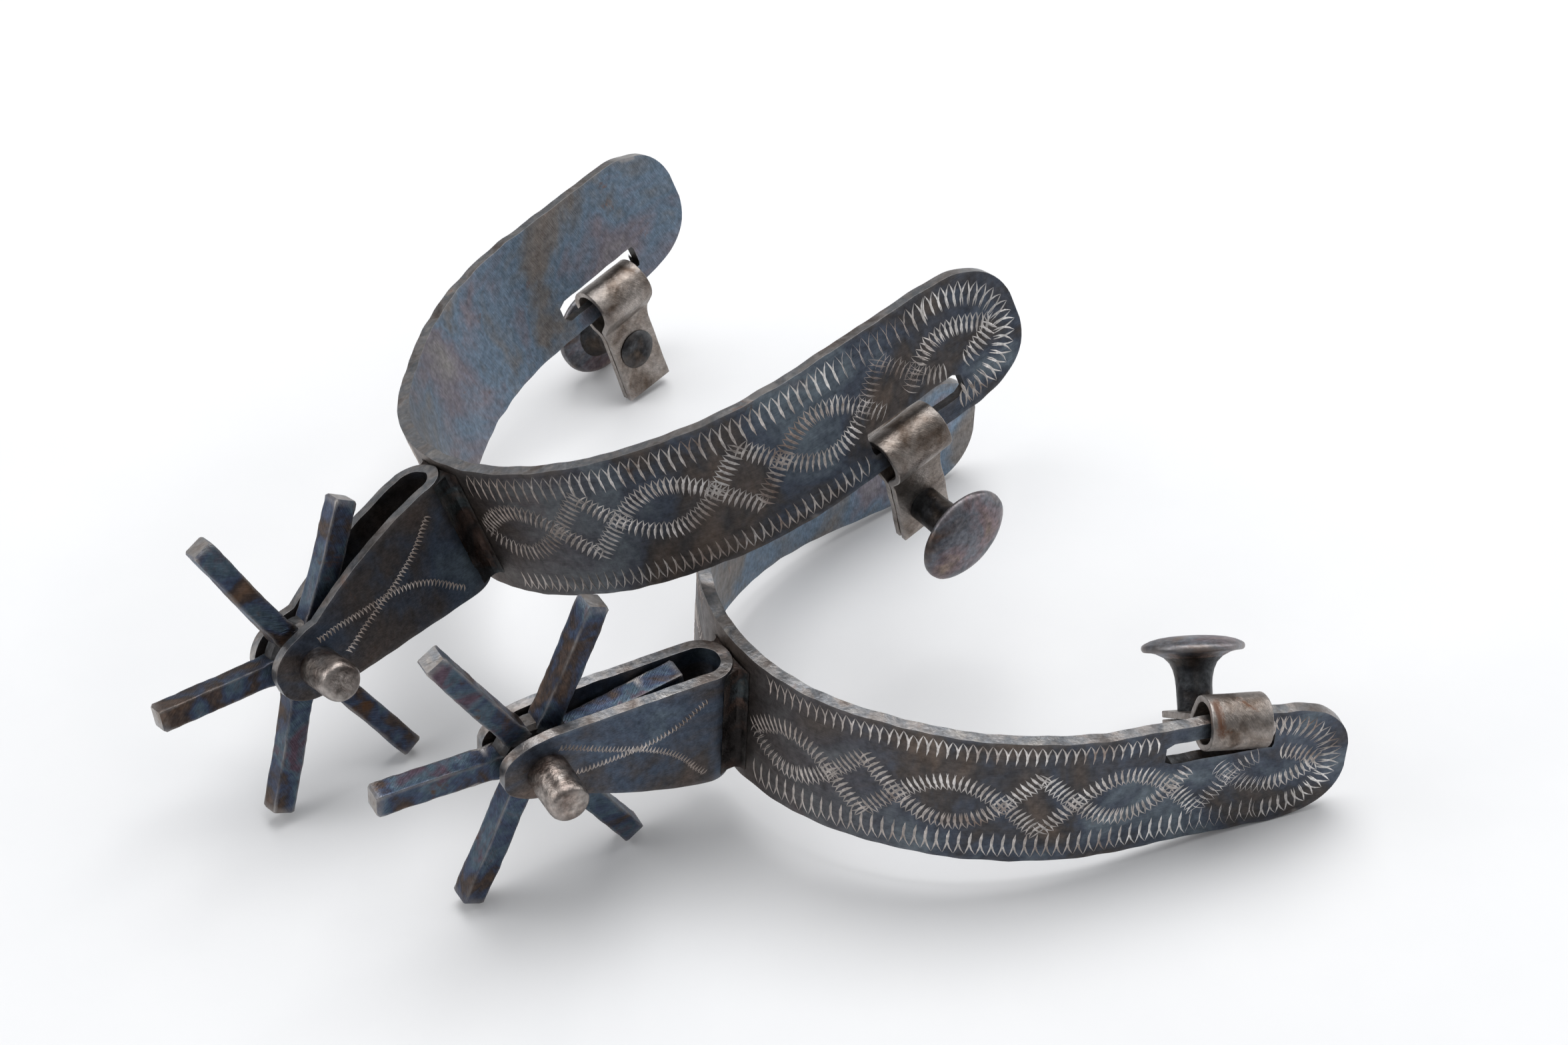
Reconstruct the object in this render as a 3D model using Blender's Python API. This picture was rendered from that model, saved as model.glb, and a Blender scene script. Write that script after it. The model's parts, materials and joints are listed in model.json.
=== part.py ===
"""A pair of hand-forged spurs, one lying over the other.

Each spur is a flat heel band bent to a U, with a hairpin shank brazed to its heel, a six-armed
rowel turning on a round pin, and a button hanger looped through a slot near the end of each arm.
The front spur lies upside down, so its hangers come off the upper edge. The rear one is upright.
Lengths are in millimetres until the last step. In a spur's own frame +X points to the toe, +Z
away from the slotted edge, and the origin is the middle of the heel, on the band's outer face.
"""

import math

import bmesh
import bpy
from mathutils import Euler, Matrix, Vector

MM = 0.001
COLLECTION = "spurs"

# heel band: one arm is measured along its outer face from the heel
BAND_THICK = 2.3
ARM = 111.6
ARM_STEP = 2.4
ROUNDED = 15.0
END_FLAT = 0.34
TOP_EDGE = ((0.0, 12.7), (0.3, 12.3), (0.6, 13.8), (0.9, 14.1), (1.0, 14.1))
LOW_EDGE = ((0.0, -12.7), (0.3, -13.0), (0.6, -10.7), (0.9, -9.3), (1.0, -9.3))
EDGE_WAVE = 0.15
SLOT_FROM_END = 32.2
SLOT_LONG = 18.8
SLOT_LOW = 0.13
SLOT_HIGH = 0.31

# hairpin shank
SHANK_THICK = 2.1
SHANK_HALF = 5.2
SHANK_SHIFT = 1.2
SHANK_LONG = 34.2
SHANK_GAP = 0.06
SHANK_TOP = ((0.0, 11.6), (0.5, 8.6), (1.0, 3.4))
SHANK_LOW = ((0.0, -10.2), (0.5, -9.7), (1.0, -9.2))
EAR_LONG = 7.4

# rowel and its pin
PIN_RADIUS = 3.5
PIN_GAP = 0.08
PIN_STAND_OUT = 8.5
PIN_FAR_HEAD = 1.4
ROWEL_THICK = 4.2
ROWEL_BORE = 3.8
ROWEL_SHIFT = 0.5
SPOKE_HALF = 2.05
WEB_RADIUS = 6.2
ROOT_RADIUS = 7.8

# hanger: a strap folded round the rail below the slot, and its riveted button
STRAP_THICK = 1.2
LOOP_RADIUS = 3.9
LOOP_DROP = 0.6
LEG_GAP = 0.2
STEM_RADIUS = 3.05
STEM_GAP = 0.1
BUTTON_RADIUS = 8.5
ROUND_STEPS = 20

# arms: length from the heel to the end. hangers: place along the arm, swing from straight down,
# crookedness on the rail, half width, strap length, stem's place along it and stem length.
SPURS = {
    "front": {
        "turns": ((0.0, 0.0), (0.12, 0.31), (0.25, 0.66), (0.42, 1.03), (0.65, 1.43), (1.0, 1.35)),
        "near": 1,
        "arms": {"near": 110.4, "far": 102.8},
        "pin_height": -2.1,
        "spokes": ((292.0, 28.4), (235.9, 29.6), (179.9, 26.9), (112.4, 29.4), (53.3, 29.6), (347.3, 26.4)),
        "hangers": {
            "near": (90.0, -128.0, 7.0, 5.3, 21.0, 15.6, 9.4),
            "far": (78.2, 112.0, 0.0, 5.8, 21.0, 15.8, 9.2),
        },
        "place": (-28.08, 393.09, 20.6),
        "turn": (179.84, 6.0, 28.53),
    },
    "rear": {
        "turns": ((0.0, 0.0), (0.12, 0.31), (0.25, 0.66), (0.42, 0.91), (0.65, 1.48), (1.0, 1.475)),
        "near": -1,
        "arms": {"near": 110.2, "far": 108.4},
        "pin_height": -3.7,
        "spokes": ((47.6, 27.0), (103.4, 28.2), (166.4, 26.5), (232.4, 26.6), (288.1, 27.0), (347.0, 27.0)),
        "hangers": {
            "near": (84.4, -21.0, -5.0, 5.9, 21.0, 15.3, 9.0),
            "far": (87.8, 8.1, 0.0, 5.8, 22.0, 12.7, 9.2),
        },
        "place": (-71.57, 424.5, 33.01),
        "turn": (-16.54, -9.76, 39.01),
    },
}


def value_at(knots, share):
    """Straight-line value between (share, value) knots."""
    for (left, low), (right, high) in zip(knots, knots[1:]):
        if share <= right:
            return low + (high - low) * (share - left) / (right - left)
    return knots[-1][1]


def add_node(name, mesh, pose):
    """Puts a finished mesh, in a spur's own millimetres, into the collection in metres."""
    mesh.calc_loop_triangles()
    mesh.transform(Matrix.Scale(MM, 4) @ pose)
    node = bpy.data.objects.new(name, mesh)
    bpy.data.collections[COLLECTION].objects.link(node)
    return node


def mesh_from(bm, name):
    """Closed mesh with its faces turned outward."""
    bmesh.ops.recalc_face_normals(bm, faces=bm.faces)
    mesh = bpy.data.meshes.new(name)
    bm.to_mesh(mesh)
    bm.free()
    return mesh


def prism(outline, low, high, lift):
    """Solid between two copies of a plane outline; lift turns (a, b, height) into a point."""
    bm = bmesh.new()
    rings = []
    for height in (low, high):
        rings.append([bm.verts.new(lift(a, b, height)) for a, b in outline])
    bm.faces.new(rings[0])
    bm.faces.new(rings[1])
    count = len(outline)
    for i in range(count):
        j = (i + 1) % count
        bm.faces.new((rings[0][i], rings[0][j], rings[1][j], rings[1][i]))
    return bm


def plate(stations, rows, is_open):
    """Bent plate of even thickness.

    Each station is (outer plan point, inner plan point, low edge, top edge). rows are shares of
    the height. is_open(i, j) says which cells between stations and rows are cut out.
    """
    bm = bmesh.new()
    corners = {}
    for i, (outer, inner, low, top) in enumerate(stations):
        for j, share in enumerate(rows):
            height = low + share * (top - low)
            for face, spot in enumerate((outer, inner)):
                corners[i, j, face] = bm.verts.new((spot[0], spot[1], height))
    columns = len(stations) - 1
    bands = len(rows) - 1
    solid = {(i, j) for i in range(columns) for j in range(bands) if not is_open(i, j)}
    for i, j in solid:
        square = ((i, j), (i + 1, j), (i + 1, j + 1), (i, j + 1))
        for face in (0, 1):
            bm.faces.new([corners[a, b, face] for a, b in square])
        beyond = ((i, j - 1), (i + 1, j), (i, j + 1), (i - 1, j))
        for side, neighbour in enumerate(beyond):
            if neighbour in solid:
                continue
            a, b = square[side], square[(side + 1) % 4]
            bm.faces.new([corners[a + (0,)], corners[b + (0,)], corners[b + (1,)], corners[a + (1,)]])
    loose = [v for v in bm.verts if not v.link_faces]
    bmesh.ops.delete(bm, geom=loose, context="VERTS")
    return bm


def arm_path(turns):
    """Plan points and headings along one arm's outer face, a millimetre apart."""
    x = y = 0.0
    heading = math.pi / 2
    path = [(x, y, heading)]
    for i in range(int(ARM)):
        middle = math.pi / 2 - value_at(turns, (i + 0.5) / ARM)
        x += math.cos(middle)
        y += math.sin(middle)
        path.append((x, y, math.pi / 2 - value_at(turns, (i + 1) / ARM)))
    return path


def on_arm(path, along):
    """Plan point and outward normal at a signed distance from the heel, + to the left."""
    side = 1 if along >= 0 else -1
    reach = min(abs(along), len(path) - 1.001)
    i = int(reach)
    part = reach - i
    x, y, heading = (a + (b - a) * part for a, b in zip(path[i], path[i + 1]))
    point = Vector((x, side * y, 0.0))
    normal = Vector((-math.sin(heading), side * math.cos(heading), 0.0))
    return point, normal


def band_edges(along, arm):
    """Low and top edge heights of the heel band, with its rounded end and hammered waves."""
    share = abs(along) / ARM
    low = value_at(LOW_EDGE, share)
    top = value_at(TOP_EDGE, share)
    low += EDGE_WAVE * math.sin(0.33 * along + 0.5)
    top += EDGE_WAVE * math.sin(0.27 * along) + 0.5 * EDGE_WAVE * math.sin(0.9 * along)
    if abs(along) > arm - ROUNDED:
        reach = (abs(along) - arm + ROUNDED) / ROUNDED
        half = 0.5 * (top - low) * max(END_FLAT, math.sqrt(max(0.0, 1.0 - reach**2)))
        middle = 0.5 * (top + low)
        low, top = middle - half, middle + half
    return low, top


def spread(start, end, step):
    """Even values from start to end, both included."""
    count = max(1, round(abs(end - start) / step))
    return [start + (end - start) * i / count for i in range(count + 1)]


def arm_stations(arm):
    """Distances along one arm where the band has an edge across it."""
    start = arm - SLOT_FROM_END
    end = start + SLOT_LONG
    places = spread(0.0, start, ARM_STEP) + spread(start, end, ARM_STEP)[1:]
    return places + spread(end, arm, 1.6)[1:]


def heel_band(path, left_arm, right_arm):
    """Flat strap bent to a U, with a long slot near the low edge at the end of each arm."""
    alongs = [-s for s in reversed(arm_stations(right_arm)[1:])] + arm_stations(left_arm)
    stations = []
    for along in alongs:
        point, normal = on_arm(path, along)
        low, top = band_edges(along, left_arm if along >= 0 else right_arm)
        stations.append((point, point - normal * BAND_THICK, low, top))
    rows = (0.0, SLOT_LOW, SLOT_HIGH, 1.0)

    def in_slot(i, j):
        middle = (alongs[i] + alongs[i + 1]) / 2
        start = (left_arm if middle > 0 else right_arm) - SLOT_FROM_END
        return j == 1 and start < abs(middle) < start + SLOT_LONG

    return plate(stations, rows, in_slot)


def cheek_outline():
    """Side outline of a cheek as (distance behind the heel, low, top) stations."""
    straight = SHANK_LONG - SHANK_HALF - 3.0
    stations = []
    for share in (0.0, 0.2, 0.4, 0.6, 0.8):
        low = value_at(SHANK_LOW, share)
        top = value_at(SHANK_TOP, share)
        stations.append((SHANK_HALF + share * straight, low, top))
    ear_half = 0.5 * (SHANK_TOP[-1][1] - SHANK_LOW[-1][1])
    ear_middle = 0.5 * (SHANK_TOP[-1][1] + SHANK_LOW[-1][1])
    reach = EAR_LONG + 3.0
    for i in range(9):
        angle = math.radians(10.0 * i)
        half = ear_half * math.cos(angle) ** 0.8
        behind = SHANK_LONG - 3.0 + reach * math.sin(angle)
        stations.append((behind, ear_middle - half, ear_middle + half))
    return stations


def shank(shift):
    """Strap folded to a hairpin: a round nose at the heel and two cheeks."""
    cheek = cheek_outline()
    inside = SHANK_HALF - SHANK_THICK
    stations = []
    for behind, low, top in reversed(cheek):
        x = -behind - SHANK_GAP
        stations.append(((x, shift + SHANK_HALF), (x, shift + inside), low, top))
    low, top = cheek[0][1:]
    for i in range(1, 12):
        angle = math.pi / 2 - math.pi * i / 12
        spots = []
        for radius in (SHANK_HALF, inside):
            x = radius * math.cos(angle) - SHANK_HALF - SHANK_GAP
            spots.append((x, shift + radius * math.sin(angle)))
        stations.append((spots[0], spots[1], low, top))
    for behind, low, top in cheek:
        x = -behind - SHANK_GAP
        stations.append(((x, shift - SHANK_HALF), (x, shift - inside), low, top))
    return plate(stations, (0.0, 1.0), lambda i, j: False)


def lathe(profile, axis_at, across, along):
    """Solid of revolution; profile is (radius, height) pairs that start and end on the axis."""
    bm = bmesh.new()
    third = along.cross(across)
    rings = []
    for radius, height in profile:
        if radius == 0:
            rings.append([bm.verts.new(axis_at + along * height)] * ROUND_STEPS)
            continue
        ring = []
        for i in range(ROUND_STEPS):
            angle = 2 * math.pi * i / ROUND_STEPS
            out = across * math.cos(angle) + third * math.sin(angle)
            ring.append(bm.verts.new(axis_at + along * height + out * radius))
        rings.append(ring)
    for low, high in zip(rings, rings[1:]):
        for i in range(ROUND_STEPS):
            j = (i + 1) % ROUND_STEPS
            corners = [low[i], low[j], high[j], high[i]]
            bm.faces.new(list(dict.fromkeys(corners)))
    return bm


def drill(mesh, radius, axis_at, across, along, reach):
    """Cuts a round hole through a mesh, both ways from a point on its axis."""
    profile = ((0, -reach), (radius, -reach), (radius, reach), (0, reach))
    tool_mesh = mesh_from(lathe(profile, axis_at, across, along), "tool")
    tool = bpy.data.objects.new("tool", tool_mesh)
    work = bpy.data.objects.new("work", mesh)
    for item in (tool, work):
        bpy.context.scene.collection.objects.link(item)
    cut = work.modifiers.new("hole", "BOOLEAN")
    cut.operation = "DIFFERENCE"
    cut.solver = "EXACT"
    cut.object = tool
    graph = bpy.context.evaluated_depsgraph_get()
    cut_mesh = bpy.data.meshes.new_from_object(work.evaluated_get(graph))
    for item in (tool, work):
        bpy.data.objects.remove(item)
    return cut_mesh


def rowel(spokes, height, offset):
    """Six square arms round a webbed hub with a bore."""
    ordered = sorted(spokes)
    outline = []
    for i, (angle, reach) in enumerate(ordered):
        along = Vector((math.cos(math.radians(angle)), math.sin(math.radians(angle))))
        left = Vector((-along.y, along.x)) * SPOKE_HALF
        outline += [along * ROOT_RADIUS - left, along * reach - left]
        outline += [along * reach + left, along * ROOT_RADIUS + left]
        following = ordered[(i + 1) % len(ordered)][0] + (360.0 if i == len(ordered) - 1 else 0.0)
        middle = math.radians((angle + following) / 2)
        outline.append(Vector((math.cos(middle), math.sin(middle))) * WEB_RADIUS)
    centre_x = -SHANK_LONG - SHANK_GAP

    def lift(a, b, across):
        return (centre_x + a, offset + across, height + b)

    bm = prism(outline, -ROWEL_THICK / 2, ROWEL_THICK / 2, lift)
    hub = Vector((centre_x, offset, height))
    return drill(mesh_from(bm, "rowel"), ROWEL_BORE, hub, Vector((1, 0, 0)), Vector((0, 1, 0)), 8.0)


def rowel_pin(near, height):
    """Round pin through both cheeks, standing well out on the near side."""
    centre = Vector((-SHANK_LONG - SHANK_GAP, 0.0, height))
    long_end = SHANK_SHIFT + SHANK_HALF + PIN_STAND_OUT
    short_end = SHANK_SHIFT - SHANK_HALF - PIN_FAR_HEAD
    rim = PIN_RADIUS - 0.5
    profile = ((0, short_end), (rim, short_end), (PIN_RADIUS, short_end + 0.5))
    profile += ((PIN_RADIUS, long_end - 0.5), (rim, long_end), (0, long_end))
    return lathe(profile, centre, Vector((1, 0, 0)), Vector((0, near, 0)))


def braze(path, side, shift):
    """Fillet of brazing metal between the band and one side of the shank's nose."""
    clear = 0.05
    outline = []
    for along in (0.9, 2.5, 4.5, 6.2, 7.6):
        point, normal = on_arm(path, along + side * shift)
        outline.append((point.x + normal.x * clear, point.y))
    nose = SHANK_HALF + clear
    centre = side * shift
    outline.append((-2.4, centre + 6.2))
    for angle in (74.0, 60.0, 46.0, 34.0, 24.0):
        turn = math.radians(angle)
        outline.append((-SHANK_HALF - SHANK_GAP + nose * math.cos(turn), centre + nose * math.sin(turn)))
    return prism(outline, -9.6, 11.0, lambda a, b, height: (a, side * b, height))


def strap_profile(length):
    """Side outline of the folded strap: a round loop whose two legs close up below it."""
    leg = 0.5 * (LEG_GAP + STRAP_THICK)
    turn = math.radians(50.0)
    leave = LOOP_RADIUS * Vector((math.cos(turn), math.sin(turn)))
    slope = Vector((math.sin(turn), -math.cos(turn)))
    knee = leave + slope * ((leave.y - leg) / math.cos(turn))
    middle = [Vector((length - LOOP_DROP, leg)), knee + Vector((0.8, 0.0)), knee - slope * 0.8]
    for i in range(15):
        angle = turn + (2 * math.pi - 2 * turn) * i / 14
        middle.append(LOOP_RADIUS * Vector((math.cos(angle), math.sin(angle))))
    middle += [Vector((p.x, -p.y)) for p in reversed(middle[:3])]
    inner, outer = [], []
    for i, point in enumerate(middle):
        before = (point - middle[max(i - 1, 0)]).normalized()
        after = (middle[min(i + 1, len(middle) - 1)] - point).normalized()
        way = (before + after).normalized()
        square = Vector((-way.y, way.x))
        stretch = 0.5 * STRAP_THICK / max(0.5, square.dot(Vector((-after.y, after.x))) if after.length else 1.0)
        outer.append(point - square * stretch)
        inner.append(point + square * stretch)
    outline = outer + inner[::-1]
    return [(p.x + LOOP_DROP, p.y) for p in outline]


def hanger_frame(path, side, arm, along, swing, crooked):
    """Rail centre, and the directions along the legs, towards the button and along the rail."""
    point, normal = on_arm(path, side * along)
    low, top = band_edges(side * along, arm)
    rail_height = low + 0.5 * SLOT_LOW * (top - low)
    centre = point - normal * (BAND_THICK / 2) + Vector((0, 0, rail_height))
    up = Vector((0, 0, 1))
    angle = math.radians(swing)
    legs = -math.cos(angle) * up + math.sin(angle) * normal
    button = math.cos(angle) * normal + math.sin(angle) * up
    lean = Matrix.Rotation(math.radians(crooked), 3, legs)
    return centre, legs, lean @ button, lean @ legs.cross(button)


def hanger(frame, half_width, length, stem_at):
    """Folded strap with a hole through both legs for the button's stem."""
    centre, legs, button, rail = frame

    def lift(a, b, across):
        return centre + legs * a + button * b + rail * across

    bm = prism(strap_profile(length), -half_width, half_width, lift)
    return drill(mesh_from(bm, "hanger"), STEM_RADIUS + STEM_GAP, lift(stem_at, 0, 0), legs, button, 4.0)


def hanger_button(frame, stem_at, stem_long):
    """Domed disc on a flared stem, riveted over behind the strap."""
    centre, legs, button, _ = frame
    face = 0.5 * LEG_GAP + STRAP_THICK
    back = -face - 0.04
    disc = face + stem_long
    profile = ((0, back - 0.9), (2.6, back - 0.9), (3.9, back - 0.4), (3.9, back), (STEM_RADIUS, back))
    profile += ((STEM_RADIUS, face), (3.1, disc - 5.6), (3.4, disc - 3.0), (4.2, disc - 1.3))
    profile += ((6.0, disc - 0.4), (BUTTON_RADIUS, disc), (BUTTON_RADIUS, disc + 1.2))
    profile += ((7.2, disc + 1.9), (4.2, disc + 2.4), (0, disc + 2.6))
    return lathe(profile, centre + legs * stem_at, legs, button)


def add_spur(name, spur):
    """Adds every piece of one spur."""
    turn = Euler([math.radians(a) for a in spur["turn"]], "XYZ").to_matrix().to_4x4()
    pose = Matrix.Translation(spur["place"]) @ turn
    path = arm_path(spur["turns"])
    near = spur["near"]
    height = spur["pin_height"]
    shift = near * SHANK_SHIFT
    across = Vector((0, near, 0))
    pin_at = Vector((-SHANK_LONG - SHANK_GAP, 0.0, height))
    left, right = ("near", "far") if near > 0 else ("far", "near")
    band = heel_band(path, spur["arms"][left], spur["arms"][right])
    cheeks = mesh_from(shank(shift), "shank")
    cheeks = drill(cheeks, PIN_RADIUS + PIN_GAP, pin_at, Vector((1, 0, 0)), across, 14.0)
    add_node(name + "_heel_band", mesh_from(band, "band"), pose)
    add_node(name + "_shank", cheeks, pose)
    add_node(name + "_rowel_pin", mesh_from(rowel_pin(near, height), "pin"), pose)
    add_node(name + "_rowel", rowel(spur["spokes"], height, near * ROWEL_SHIFT), pose)
    for label, side in (("near", near), ("far", -near)):
        along, swing, crooked, half_width, length, stem_at, stem_long = spur["hangers"][label]
        frame = hanger_frame(path, side, spur["arms"][label], along, swing, crooked)
        fold = hanger(frame, half_width, length, stem_at)
        button = mesh_from(hanger_button(frame, stem_at, stem_long), "button")
        add_node(f"{name}_{label}_braze", mesh_from(braze(path, side, shift), "braze"), pose)
        add_node(f"{name}_{label}_hanger", fold, pose)
        add_node(f"{name}_{label}_button", button, pose)


def set_on_floor(nodes):
    """Moves the pair so that the middle of its box's bottom is the origin."""
    points = [v.co for node in nodes for v in node.data.vertices]
    low = Vector([min(p[k] for p in points) for k in range(3)])
    high = Vector([max(p[k] for p in points) for k in range(3)])
    shift = Vector((-(low.x + high.x) / 2, -(low.y + high.y) / 2, -low.z))
    for node in nodes:
        node.data.transform(Matrix.Translation(shift))


def main():
    for item in list(bpy.data.objects):
        bpy.data.objects.remove(item)
    collection = bpy.data.collections.new(COLLECTION)
    bpy.context.scene.collection.children.link(collection)
    for name, spur in SPURS.items():
        add_spur(name, spur)
    set_on_floor(list(collection.objects))


main()
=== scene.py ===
"""Looks of a pair of hand-forged spurs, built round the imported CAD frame.

Every piece is made in its own spur's frame, in millimetres, and placed by that spur's resting
pose. A spur's frame has +X to the toe, +Z away from the slotted edge, and its origin in the
middle of the heel, on the band's outer face.
"""

import json
import math

import bmesh
import bpy
from mathutils import Euler, Matrix, Vector, noise

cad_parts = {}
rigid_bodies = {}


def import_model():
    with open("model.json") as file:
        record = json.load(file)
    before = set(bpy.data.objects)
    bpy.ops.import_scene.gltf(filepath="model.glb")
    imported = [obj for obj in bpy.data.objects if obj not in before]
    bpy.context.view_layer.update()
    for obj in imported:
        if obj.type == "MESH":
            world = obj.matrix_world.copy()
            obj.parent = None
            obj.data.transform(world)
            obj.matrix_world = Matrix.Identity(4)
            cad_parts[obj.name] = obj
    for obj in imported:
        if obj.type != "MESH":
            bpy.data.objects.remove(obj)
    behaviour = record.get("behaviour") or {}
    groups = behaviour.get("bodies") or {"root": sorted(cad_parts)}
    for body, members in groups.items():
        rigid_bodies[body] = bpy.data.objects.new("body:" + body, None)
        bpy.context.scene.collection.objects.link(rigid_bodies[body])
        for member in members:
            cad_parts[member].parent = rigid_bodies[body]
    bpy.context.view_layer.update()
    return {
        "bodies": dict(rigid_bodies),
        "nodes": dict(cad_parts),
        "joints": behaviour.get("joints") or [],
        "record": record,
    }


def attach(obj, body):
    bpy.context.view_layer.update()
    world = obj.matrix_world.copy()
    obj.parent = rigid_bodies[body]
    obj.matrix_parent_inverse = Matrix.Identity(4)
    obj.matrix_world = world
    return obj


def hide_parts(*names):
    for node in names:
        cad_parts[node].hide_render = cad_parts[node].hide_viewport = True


MM = 0.001

# hammered surface: its mean depth, and what broad and small dents add
DENT = 0.09
DENT_BROAD = 0.05
DENT_SMALL = 0.025

# heel band, measured along its outer face from the heel; its edges are (share of an arm, height)
BAND_THICK = 2.3
ARM = 111.6
ROUNDED = 15.0
END_SQUARE = 2.55
BAND_STEP = 1.1
ROW_STEP = 0.05
END_STEP = 0.75
END_FINE = 1.6
END_COLUMNS = (1.0, 0.6, 0.3, 0.12)
TOP_EDGE = ((0.0, 12.7), (0.3, 12.3), (0.6, 13.8), (0.9, 14.1), (1.0, 14.1))
LOW_EDGE = ((0.0, -12.7), (0.3, -13.0), (0.6, -10.7), (0.9, -9.3), (1.0, -9.3))

# slot and the rail below it, as shares of the band's height; the corners are rounded less where a
# hanger stands close
SLOT_FROM_END = 32.2
SLOT_LONG = 18.8
RAIL_SHARE = 0.065
SLOT_LOW = 0.13
SLOT_HIGH = 0.305
SLOT_ROW_STEP = 0.03
SLOT_ROUND = 1.3
SLOT_TIGHT = 0.25

# hairpin shank; its edges are (share of the cheek, height)
SHANK_THICK = 2.1
SHANK_HALF = 5.2
SHANK_SHIFT = 1.2
SHANK_LONG = 34.2
SHANK_GAP = 0.06
SHANK_TOP = ((0.0, 11.6), (0.5, 8.6), (1.0, 3.4))
SHANK_LOW = ((0.0, -10.2), (0.5, -9.7), (1.0, -9.2))
NOSE_STEPS = 24
EAR_LEAD = 3.0
EAR_LONG = 7.4
CHEEK_STRAIGHT = SHANK_LONG - SHANK_HALF - EAR_LEAD

# brazing, from its place on the band to where it meets the nose
BRAZE_START = 0.9
BRAZE_END = 5.6
BRAZE_ANGLES = (70.0, 62.0, 53.0, 43.0, 30.0)
BRAZE_LOW = -9.5
BRAZE_HIGH = 10.9

# pin; its ends are (radius, distance in from the end)
PIN_RADIUS = 3.5
PIN_STAND_OUT = 8.5
PIN_FAR_HEAD = 1.4
PIN_STEPS = 40
PIN_SHORT_END = ((0.0, 0.0), (1.6, 0.05), (2.9, 0.25), (PIN_RADIUS, 0.9))
PIN_LONG_END = (
    (PIN_RADIUS - 0.08, 0.8), (PIN_RADIUS - 0.35, 0.3), (PIN_RADIUS - 0.8, 0.05), (1.6, 0.12), (0.0, 0.2),
)

# rowel
ROWEL_THICK = 4.2
ROWEL_BORE = 3.8
ROWEL_SHIFT = 0.5
SPOKE_HALF = 2.05
SPOKE_ROOT = 4.7
SPOKE_STEP = 1.0
SPOKE_CORNER = 0.26
HUB_RADIUS = 6.5
HUB_BEVEL = 0.7
BORE_BEVEL = 0.3
HUB_STEPS = 48

# hanger, a strap looped round the rail
STRAP_THICK = 1.2
LOOP_RADIUS = 3.9
LOOP_DROP = 0.6
LOOP_OPENING = 50.0
LOOP_STEPS = 30
LEG_GAP = 0.2
LEG_NARROWING = 0.13
STRAP_BEYOND_STEM = {"front_near": 3.6}

# button; (radius, height) from the strap's back for the rivet, from the disc for the rest
STEM_RADIUS = 3.05
BUTTON_RADIUS = 8.5
BUTTON_STEPS = 56
RIVET = ((0.0, -0.35), (1.2, -0.5), (2.4, -0.85), (3.3, -0.6), (3.8, -0.15), (3.6, 0.1), (STEM_RADIUS, 0.2))
FLARE = ((STEM_RADIUS, -5.6), (3.15, -4.2), (3.45, -2.9), (4.0, -1.8))
DISC = (
    (4.9, -0.9), (6.2, -0.25), (7.4, 0.05), (8.2, 0.1), (8.45, 0.35), (BUTTON_RADIUS, 0.7), (8.4, 1.1),
    (8.0, 1.4), (7.0, 1.85), (5.6, 2.2), (4.0, 2.42), (2.0, 2.55), (0.0, 2.58),
)

# engraving: zigzags of burrs, each kind as (pitch, length across, half width of a burr)
BURR_PEAK = 0.07
BURR_FOOT = -0.03
RUBBED_PEAK = 0.01
RUBBED_MARGIN = 1.0
TOP_ZIGZAG = (1.75, 5.0, 0.27)
END_ZIGZAG = (1.45, 4.2, 0.26)
LOW_ZIGZAG = (1.55, 3.7, 0.26)
LOW_END_ZIGZAG = (1.45, 3.1, 0.26)
STRAND_ZIGZAG = (1.0, 3.5, 0.25)
CHEEK_ZIGZAG = (0.7, 1.35, 0.21)

# borders: how far in from the edge, and where they start and stop along an arm
TOP_INSET = 3.5
END_INSET = 3.1
LOW_INSET = 2.7
LOW_END_INSET = 2.5
TOP_BORDER_START = 9.0
LOW_BORDER_START = 11.0
SLOT_CLEAR = 1.5
SLOT_END_CLEAR = 2.0

# twisted strands as (figure, start, end) along an arm of FIGURES_ARM, and the two curves on each
# cheek as (distance behind the heel, share of the cheek's height)
OVAL_HALF = 4.1
DIAMOND_HALF = 5.7
FIGURE_STEPS = 12
FIGURES_ARM = 110.0
FIGURES = (
    ("oval", 8.5, 24.0),
    ("diamond", 24.0, 35.0),
    ("oval", 35.0, 52.0),
    ("diamond", 52.0, 63.5),
    ("oval", 63.5, 79.5),
    ("diamond", 79.5, 89.5),
    ("oval", 89.5, 105.0),
)
CHEEK_CURVES = (
    ((6.5, 0.16), (9.5, 0.30), (14.0, 0.41), (20.0, 0.51), (25.0, 0.58), (29.0, 0.68)),
    ((6.5, 0.93), (8.5, 0.78), (12.0, 0.62), (17.0, 0.51), (24.0, 0.42), (32.5, 0.22)),
)

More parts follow.
